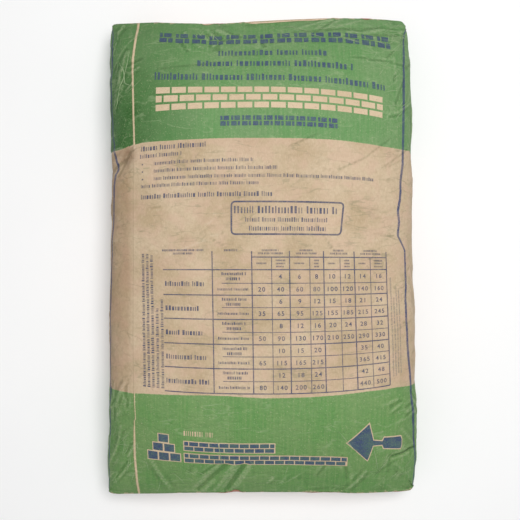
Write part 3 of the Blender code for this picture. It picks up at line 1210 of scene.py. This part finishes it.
# Marks in the head of even and odd columns: how many, and how far below the header line
COLUMN_MARKS = ((1, 0.0085), (3, 0.0045))
COLUMN_MARK_MARGIN, COLUMN_MARK_PITCH, COLUMN_MARK_HEIGHT = 0.006, 0.0042, 0.0022

# Upright rows of small words, left and right of the table: p, first and last q, and height
UPRIGHT_ROWS = [
    (-0.1670, -0.187, 0.003, 0.0042), (-0.1605, -0.187, 0.003, 0.0042),
    (-0.1540, -0.187, 0.001, 0.0042), (-0.1470, -0.187, -0.075, 0.0042),
    (-0.1400, -0.187, -0.061, 0.0042),
]
SMALL_PRINT = [
    (0.1800, -0.178, -0.032, 0.0022), (0.1845, -0.178, -0.060, 0.0022),
    (0.1890, -0.175, -0.045, 0.0022), (0.1935, -0.175, -0.050, 0.0022),
]

# Bare wall in the upper band, and what the base band shows
WALL = (-0.1475, 0.1695, 0.2005, 0.2300)
WALL_BRICK, WALL_JOINT = 0.0200, 0.0028
RIM = 0.0014
STACK_CORNER = (-0.1640, -0.2985)
STACK_BRICK = (0.0140, 0.0122)
STACK_PITCH = (0.0163, 0.0150)
BACKED_ROWS = [(-0.1110, 0.0140, -0.2712), (-0.1110, 0.1130, -0.2915)]
BACKED_HEIGHT = 0.0140
BACKED_BRICK, BACKED_JOINT = 0.0125, 0.0015
# Trowel: its middle, and half its outline as places off that middle
TROWEL_MIDDLE = (0.1540, -0.2613)
TROWEL_HALF = [
    (-0.0412, 0), (-0.0110, 0.0255), (-0.0041, 0.0035), (0.0099, 0.0023),
    (0.0122, 0.0070), (0.0389, 0.0075), (0.0412, 0.0035),
]


def trowel():
    """The trowel's outline: one half, then the other half mirrored."""
    half = np.array(TROWEL_HALF)
    other = half[:0:-1] * (1, -1)
    return np.concatenate([half, other]) + TROWEL_MIDDLE


def rounded_frame(p0, p1, q0, q1, radius, lean):
    """The outline of a frame with rounded corners, whose right side leans outward at its top."""
    path = []
    for quarter, middle in enumerate((
        (p1 - radius, q1 - radius), (p0 + radius, q1 - radius),
        (p0 + radius, q0 + radius), (p1 - radius, q0 + radius),
    )):
        for k in range(7):
            turn = math.radians(90 * quarter + 15 * k)
            path.append((middle[0] + radius * math.cos(turn), middle[1] + radius * math.sin(turn)))
    path = np.array(path + path[:1])
    on_right = path[:, 0] > (p0 + p1) / 2
    path[:, 0] += on_right * lean * (path[:, 1] - q0) / (q1 - q0)
    return path


def widen(shape, rim):
    """A closed outline, counter-clockwise or not, moved outward by a rim."""
    shape = np.array(shape, float)
    ahead = unit(np.roll(shape, -1, axis=0) - shape)
    behind = unit(shape - np.roll(shape, 1, axis=0))
    side = unit(np.stack([ahead[:, 1] + behind[:, 1], -ahead[:, 0] - behind[:, 0]], axis=-1))
    lean = np.maximum((side * np.stack([ahead[:, 1], -ahead[:, 0]], axis=-1)).sum(1), 0.5)
    turning = (np.roll(shape, -1, axis=0) * np.stack([-shape[:, 1], shape[:, 0]], axis=-1)).sum()
    return shape + np.sign(turning) * side * (rim / lean)[:, None]


def print_table(navy):
    """The table: its lines, plain numbers and rows of marks for its headings."""
    for q in MAIN_LINES:
        navy.stroke([(TABLE_LEFT, q), (TABLE_RIGHT, q)], THICK_LINE)
    for q in SUB_LINES:
        navy.stroke([(SUB_LINE_LEFT, q), (TABLE_RIGHT, q)], THIN_LINE)
    navy.stroke([(THICK_COLUMNS[1], HEADER_LINE), (TABLE_RIGHT, HEADER_LINE)], THICK_LINE)
    for p in THICK_COLUMNS:
        navy.stroke([(p, TABLE_TOP), (p, MAIN_LINES[-1])], THICK_LINE)
    for p in THIN_COLUMNS:
        navy.stroke([(p, HEADER_LINE), (p, MAIN_LINES[-1])], THIN_LINE)

    edges = sorted(THICK_COLUMNS[1:] + THIN_COLUMNS)
    for row, (top, middle, low) in enumerate(zip(MAIN_LINES, SUB_LINES, MAIN_LINES[1:])):
        q = (top + low) / 2 - HEADING_DROP
        navy.words(HEADING_LEFT, HEADING_ENDS[row], q, HEADING_HEIGHT, 40 + row, low=CUT_DOWN)
        for left, right, drop, seed, cut in UPPER_MARKS:
            navy.words(left, right, top - drop, UPPER_MARK_HEIGHT, seed + row, low=cut)
        navy.words(*LOWER_MARK, (middle + low) / 2, LOWER_MARK_HEIGHT, 70 + row, low=CUT_DOWN)
        for column, (left, right) in enumerate(zip(edges, edges[1:])):
            if row > 2 and column in EMPTY_COLUMNS:
                continue
            small = (row + 2) * (column + 1)
            if column:
                navy.number(small, (left + right) / 2, (top + middle) / 2, NUMBER_HEIGHT)
            large = 10 * small + 5 * row
            navy.number(large, (left + right) / 2, (middle + low) / 2, NUMBER_HEIGHT)
    for left, right in zip(THICK_COLUMNS[1:], THICK_COLUMNS[2:]):
        for margin, rise, seed in PAIR_MARKS:
            navy.words(left + margin, right - margin, TABLE_TOP + rise, PAIR_MARK_HEIGHT, seed)
    for left, right, rise, seed in LEFT_MARKS:
        navy.words(left, right, TABLE_TOP + rise, LEFT_MARK_HEIGHT, seed)
    for column, (left, right) in enumerate(zip(edges, edges[1:])):
        count, drop = COLUMN_MARKS[column % 2]
        left, right = left + COLUMN_MARK_MARGIN, right - COLUMN_MARK_MARGIN
        for k in range(count):
            q = HEADER_LINE - drop - COLUMN_MARK_PITCH * k
            navy.words(left, right, q, COLUMN_MARK_HEIGHT, 90 + k)


def print_marks():
    """All print on the front: rows of plain marks, numbers, bricks and a trowel."""
    lifts = GREEN_LIFT, KRAFT_LIFT, BARE_LIFT, KRAFT_LIFT
    on_green, on_kraft, bare, faint = (Print(lift) for lift in lifts)
    for row in WALL_ROWS:
        on_green.walls(*row)
    for k, row in enumerate(GREEN_ROWS):
        on_green.words(*row, 20 + k, low=CUT_DOWN)
    for k, row in enumerate(KRAFT_ROWS + FRAME_ROWS):
        weight = 1 if k in BOLD_ROWS else PLAIN_WEIGHT
        on_kraft.words(*row, 30 + k, low=CUT_DOWN, weight=weight)
    for _, _, q, _ in KRAFT_ROWS[2:5]:
        on_kraft.bar(BULLET_P - 0.001, BULLET_P + 0.001, q - 0.001, q + 0.001)
    on_kraft.stroke(rounded_frame(*FRAME, FRAME_RADIUS, FRAME_LEAN), FRAME_LINE)
    print_table(on_kraft)
    for rows, ink, seed in ((UPRIGHT_ROWS, on_kraft, 100), (SMALL_PRINT, faint, 110)):
        for k, (p, q0, q1, height) in enumerate(rows):
            ink.words(q0, q1, p, height, seed + k, turned=True, low=CUT_DOWN)

    bare.wall(*WALL, 3, WALL_BRICK, WALL_JOINT)
    for row, count in enumerate((3, 2, 1)):
        for k in range(count):
            p = STACK_CORNER[0] + STACK_PITCH[0] * (k + row / 2)
            q = STACK_CORNER[1] + STACK_PITCH[1] * row
            width, height = STACK_BRICK
            bare.bar(p - RIM, p + width + RIM, q - RIM, q + height + RIM)
            on_green.bar(p, p + width, q, q + height)
    bare.words(-0.1115, -0.0690, -0.2510, 0.0075, 120, weight=0.65)
    half = BACKED_HEIGHT / 2
    for p0, p1, q in BACKED_ROWS:
        bare.bar(p0 - RIM, p1 + RIM, q - half - RIM, q + half + RIM)
        on_green.wall(p0, p1, q - half, q + half, 2, BACKED_BRICK, BACKED_JOINT)
    bare.outline(widen(trowel(), RIM))
    on_green.outline(trowel())

    bare.build("bare_marks", unprinted_kraft())
    on_green.build("navy_marks_on_green", print_material("navy_on_green", NAVY, green_colour, 0.6))
    slate = print_material("slate_on_kraft", srgb(56, 66, 96), kraft_colour, 0.35)
    on_kraft.build("slate_marks_on_kraft", slate)
    faint.build("faint_marks", print_material("faint_ink", srgb(120, 118, 118), kraft_colour, 0.7))


# Scuffs: middle, reach, count, length and turn in degrees of each patch of fine lines
SCUFFS = [
    ((0.195, 0.315), (0.022, 0.030), 22, 0.030, 55),
    ((0.150, 0.325), (0.050, 0.018), 18, 0.040, 5),
    ((0.060, 0.338), (0.060, 0.010), 14, 0.035, -4),
    ((0.185, 0.230), (0.030, 0.050), 14, 0.026, 40),
    ((-0.205, 0.250), (0.018, 0.070), 11, 0.028, 70),
    ((-0.070, 0.330), (0.020, 0.018), 8, 0.016, 110),
    ((-0.205, -0.300), (0.025, 0.045), 16, 0.030, 55),
    ((-0.130, -0.310), (0.050, 0.030), 9, 0.030, -55),
    ((0.190, -0.320), (0.035, 0.025), 12, 0.030, 60),
    ((0.060, -0.300), (0.120, 0.035), 7, 0.040, 80),
]
SCUFF_STEPS = 8
LONG_SCUFFS = [
    [(-0.190, 0.296), (-0.193, 0.280), (-0.201, 0.250),
     (-0.207, 0.237), (-0.212, 0.215), (-0.218, 0.206)],
    [(-0.184, 0.237), (-0.198, 0.243), (-0.201, 0.265), (-0.213, 0.281)],
]

# Painted shade along a crease: its path along a fold, and its width there
CREASE = [(0.184, -0.287), (0.205, -0.283), (0.218, -0.279), (0.236, -0.278)]
CREASE_WIDTH = (0.0004, 0.0010, 0.0018, 0.0006)


def print_scuffs():
    """Fine pale lines where the ink was rubbed or cracked off, and a dark line of painted shade
    along a crease.
    """
    rng = np.random.default_rng(7)
    scuffs = Print(SCUFF_LIFT, bent=False)
    ends = np.sin(np.linspace(0.15, math.pi - 0.15, SCUFF_STEPS + 1))
    for place, heading, length, _ in strewn(SCUFFS, rng):
        bend = rng.normal(0, 0.3)
        path = [place]
        for _ in range(SCUFF_STEPS):
            place = place + length / SCUFF_STEPS * np.array([math.cos(heading), math.sin(heading)])
            heading += bend / SCUFF_STEPS + rng.normal(0, 0.05)
            path.append(place)
        path = np.clip(path, (-0.26, -0.352), (0.26, 0.352))
        scuffs.stroke(path, rng.uniform(0.0003, 0.0008) * ends)
    for path in LONG_SCUFFS:
        scuffs.stroke(path, [0.0004] + [0.0013] * (len(path) - 2) + [0.0004])
    scuffs.build("scuffs", print_material("scuffed_ink", srgb(158, 178, 136), green_colour, 0.7))

    # Painted shade: a dark line drawn along the fold's crease
    crease = Print(SCUFF_LIFT, bent=False)
    crease.stroke(CREASE, CREASE_WIDTH)
    crease.build("crease", print_material("crease_shade", srgb(46, 76, 40), green_colour, 0.4))


# Patches, valve and fill

# Where a patch laps over the front's edge: first and last x, how far, over what length it runs
# out, and whether its red shows
LAPS = {
    FILLING: [
        (-0.092, -0.066, 0.0024, 0.008, False),
        (-0.045, 0.122, 0.0044, 0.035, False),
        (0.140, 0.162, 0.0030, 0.008, True),
    ],
    BASE: [(-0.048, -0.026, 0.0028, 0.008, True)],
}
BORDER_WIDTH = 0.009
PLY = 0.0003
PATCH_LIFT = 0.0004

# Sleeve: how far its near side lies behind the ear, and its rings from inside to the mouth, as x
# off the sack's skin and shares of its depth and width
SLEEVE_BEHIND = 0.0075
SLEEVE_SIDES = 28
SLEEVE_RINGS = (
    (-SLEEVE_LENGTH, 1, 1), (-0.010, 1, 1), (0.0014, 1, 1),
    (0.0014, 0.8, 0.95), (0.0002, 0.8, 0.95), (0.0002, 0.02, 0.17),
)

# Cement: every how many points of the sack it takes, and how far it stays inside and off the floor
FILL_STEP, FILL_INSET, FILL_HEIGHT = 2, 0.0035, 0.001


def build_patch(name, end, node):
    """A paper strip over a folded end, its outline as uneven as its glue."""
    columns, rows = 160, 18
    p, q = np.meshgrid(np.linspace(-1, 1, columns), np.linspace(-1, 1, rows), indexing="ij")
    widest = half_width(end * LENGTH / 2)
    x = p * (widest - PATCH_SIDE_MARGIN)
    half = end_half_height(x, end)
    margin = PATCH_EDGE_MARGIN + 0.0006 * soft_noise(x, q * 0.02, 0.012, 21 + end)
    border = BORDER_WIDTH - (1 - np.abs(q)) * half
    for first, last, lap, ease, red in LAPS[end]:
        over = smooth((x - first) / ease) * smooth((last - x) / ease) * (q > 0)
        margin = margin - over * (PATCH_EDGE_MARGIN + lap)
        if not red:
            border = np.where(over > 0.1, -1, border)
    w = q * (half - margin) / half
    places = end_faces[end].locate(x / widest, np.minimum(w, 1))
    places[..., 1] += end * PATCH_LIFT
    lapped = w > 1
    s = np.interp(x[lapped], *tube.edge(end))
    t = end * (tube.t[-1] - (w[lapped] - 1) * half[lapped])
    points, normals = tube.locate(s, t)
    places[lapped] = points + normals * PATCH_LIFT
    faces = [face[::-end] for face in grid_faces(columns, rows)]
    patch = add_object(name, places.reshape(-1, 3), faces, patch_paper())
    set_attribute(patch.data, "border", border.ravel())
    ply = patch.modifiers.new("ply", "SOLIDIFY")
    ply.thickness = PLY
    ply.offset = 1
    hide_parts(node)


def build_sleeve():
    """The valve sleeve: a flattened tube whose mouth stands just proud of the right ear."""
    sides = SLEEVE_SIDES
    places, faces, _ = closed_sack()
    skin = BVHTree.FromPolygons([tuple(p) for p in places], faces)
    turn = np.linspace(0, 2 * math.pi, sides, endpoint=False)
    ear = end_faces[FILLING].points[FRONT_CELLS - 2, SIDE_CELLS // 2]
    y = ear[1] - SLEEVE_BEHIND - SLEEVE_DEPTH / 2 + np.sin(turn) * SLEEVE_DEPTH / 2
    z = BLOCK_HEIGHT / 2 + np.cos(turn) * SLEEVE_WIDTH / 2
    surface = np.array([
        skin.ray_cast(Vector((0.4, a, b)), Vector((-1, 0, 0)))[0].x for a, b in zip(y, z)])
    off_y, off_z = y - y.mean(), z - z.mean()
    rings = [
        (surface[k] + along, y.mean() + off_y[k] * deep, z.mean() + off_z[k] * wide)
        for along, deep, wide in SLEEVE_RINGS for k in range(sides)
    ]
    faces = [
        (r + k, r + (k + 1) % sides, r + sides + (k + 1) % sides, r + sides + k)
        for r in range(0, len(rings) - sides, sides) for k in range(sides)
    ]
    sleeve = add_object("paper_valve_sleeve", rings, faces, sleeve_paper())
    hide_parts("valve_sleeve")


def build_fill():
    """The cement, seen only where the paper would be open."""
    places, faces, _ = closed_sack(FILL_STEP, FILL_INSET)
    places[:, 2] = np.maximum(places[:, 2], FILL_HEIGHT)
    fill = add_object("cement_powder", places, faces, cement_powder())
    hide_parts("cement_fill")


# Stage


def add_camera():
    camera = bpy.data.cameras.new("camera")
    camera.lens = LENS
    camera.sensor_width = SENSOR
    obj = add_to_scene("camera", camera)
    obj.location = (*CAMERA_SHIFT, CAMERA_HEIGHT)
    bpy.context.scene.camera = obj


def add_light(name, place, size, power):
    light = bpy.data.lights.new(name, "AREA")
    light.shape = "DISK"
    light.size = size
    light.energy = power
    obj = add_to_scene(name, light)
    obj.location = place
    obj.rotation_euler = (-Vector(place)).to_track_quat("-Z", "Y").to_euler()


def add_floor():
    bpy.ops.mesh.primitive_plane_add(size=12, location=(0, 0, -0.0002))
    floor = bpy.context.object
    floor.name = "floor"
    shade = Shade("floor_white", 0.9)
    whites = (0.95, 0.95, 0.95, 1), (0.93, 0.93, 0.93, 1)
    shade.colour(shade.clouds(3, *whites, detail=2, low=0.3, high=0.7))
    floor.data.materials.append(shade.material)


def add_world(strength):
    world = bpy.data.worlds.new("studio")
    world.use_nodes = True
    background = world.node_tree.nodes["Background"]
    background.inputs["Color"].default_value = (1, 1, 1, 1)
    background.inputs["Strength"].default_value = strength
    bpy.context.scene.world = world


build_sack()
print_marks()
print_scuffs()
build_patch("filling_end_patch", FILLING, "top_cover_patch")
build_patch("base_end_patch", BASE, "bottom_cover_patch")
build_sleeve()
build_fill()

add_camera()
add_floor()
for light_name, settings in LIGHTS.items():
    add_light(light_name, *settings)
add_world(WORLD_STRENGTH)
bpy.context.scene.view_settings.view_transform = "Standard"
